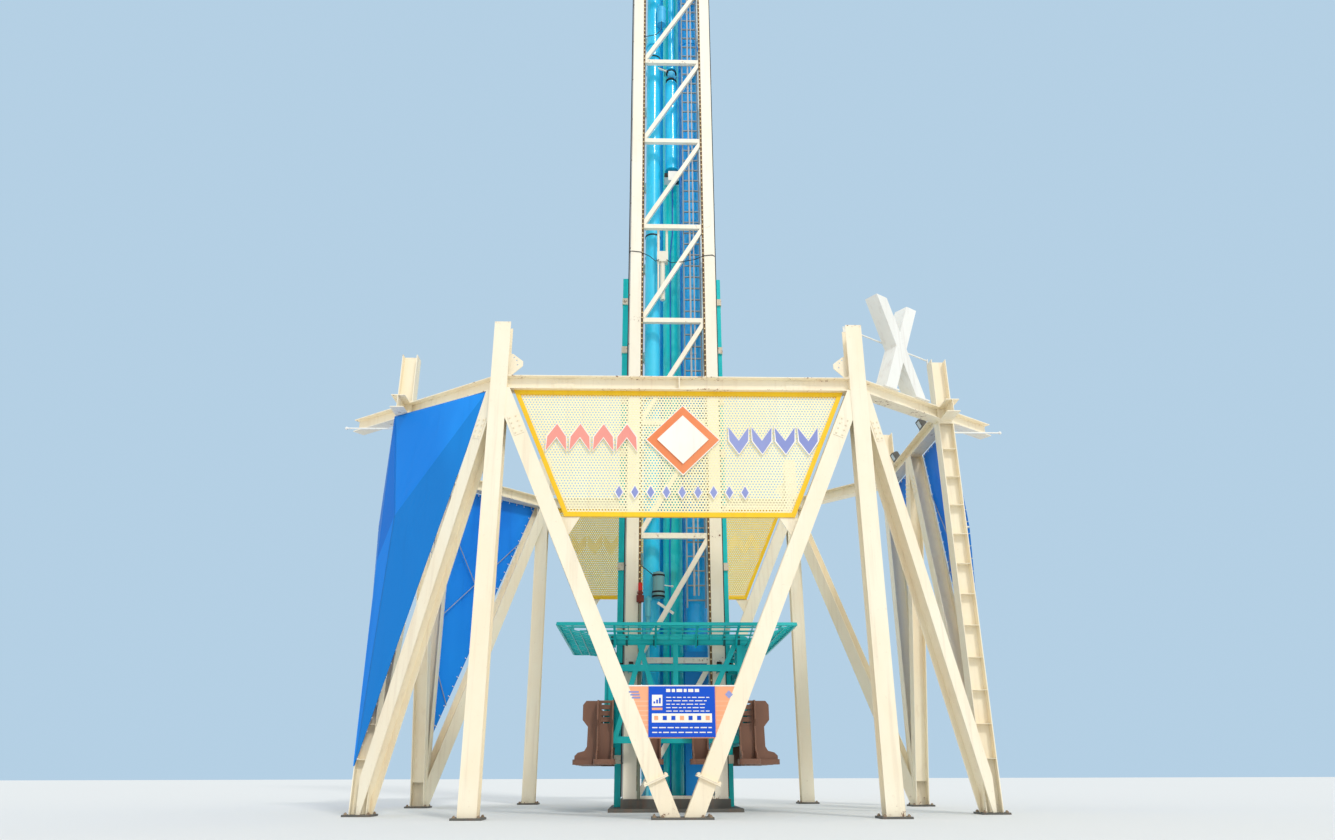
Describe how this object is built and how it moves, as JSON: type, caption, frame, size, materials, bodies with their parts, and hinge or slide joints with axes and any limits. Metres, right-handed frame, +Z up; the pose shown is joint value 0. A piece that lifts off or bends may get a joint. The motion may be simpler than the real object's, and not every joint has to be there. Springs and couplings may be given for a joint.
{
  "type": "drop tower ride, 1:2 scale model",
  "caption": "Lattice mast with an air-driven carriage of outward-facing seats under a grid canopy, inside a ring of beams with signs and tent panels.",
  "frame": {"origin": "centre of the mast at ground level, under the middle of the outer frame", "axes": "+Z up along the mast, -Y towards the front with the notice board, +X to the right"},
  "size_m": [6.569, 4.14, 25.2925],
  "materials": {
    "mast_paint": "cream gloss paint, rust at the joints",
    "frame_paint": "cream paint with rust stains",
    "white_paint": "white paint",
    "teal_paint": "teal gloss paint",
    "cylinder_paint": "light blue gloss paint",
    "fitting_paint": "grey-green and red paint",
    "cabinet_paint": "dark blue paint",
    "dark_steel": "dark grey paint",
    "galvanised": "galvanised steel",
    "sign_yellow": "yellow paint",
    "sign_sheet": "pale yellow paint, perforated",
    "board_salmon": "salmon paint",
    "panel_blue": "blue printed plastic",
    "membrane_blue": "coated blue membrane",
    "seat_brown": "brown moulded seats",
    "wheel_rubber": "black rubber"
  },
  "bodies": {
    "tower": {"mast_base": "dark_steel", "mast_legs": "mast_paint", "mast_front_lattice": "mast_paint", "mast_back_lattice": "mast_paint", "mast_left_lattice": "mast_paint", "mast_right_lattice": "mast_paint", "mast_head": "mast_paint", "left_air_cylinders": "cylinder_paint", "right_air_cylinders": "cylinder_paint", "centre_column": "teal_paint", "upper_air_tank": "cylinder_paint", "upper_pipe": "cylinder_paint", "ladder": "galvanised", "control_cabinet": "cabinet_paint", "guide_tubes": "teal_paint", "left_clamp_rail": "mast_paint", "right_clamp_rail": "mast_paint", "end_posts": "frame_paint", "side_posts": "frame_paint", "foot_plates": "dark_steel", "front_ring_beam": "frame_paint", "back_ring_beam": "frame_paint", "side_ring_beams": "frame_paint", "corner_ring_beams": "frame_paint", "front_braces": "frame_paint", "back_braces": "frame_paint", "corner_braces": "frame_paint", "side_braces": "frame_paint", "front_sign_frame": "sign_yellow", "front_sign_sheet": "sign_sheet", "back_sign_frame": "sign_yellow", "back_sign_sheet": "sign_sheet", "notice_board": "board_salmon", "notice_panel": "panel_blue", "corner_membranes": "membrane_blue", "left_membranes": "membrane_blue", "right_membranes": "membrane_blue", "membrane_struts": "galvanised", "crossed_beams": "white_paint", "frame_rods": "white_paint", "floodlights": "dark_steel", "mast_fittings": "fitting_paint"},
    "carriage": {"carriage_front": "teal_paint", "carriage_back": "teal_paint", "carriage_left": "teal_paint", "carriage_right": "teal_paint", "guide_wheels": "wheel_rubber", "wheel_brackets": "teal_paint", "canopy_front": "teal_paint", "canopy_back": "teal_paint", "canopy_left": "teal_paint", "canopy_right": "teal_paint", "front_seats": "seat_brown", "back_seats": "seat_brown", "left_seats": "seat_brown", "right_seats": "seat_brown"}
  },
  "joints": [
    {"name": "carriage_slide", "type": "slide", "parent": "tower", "child": "carriage", "axis": [0, 0, 1], "range_m": [0, 22.4]}
  ]
}
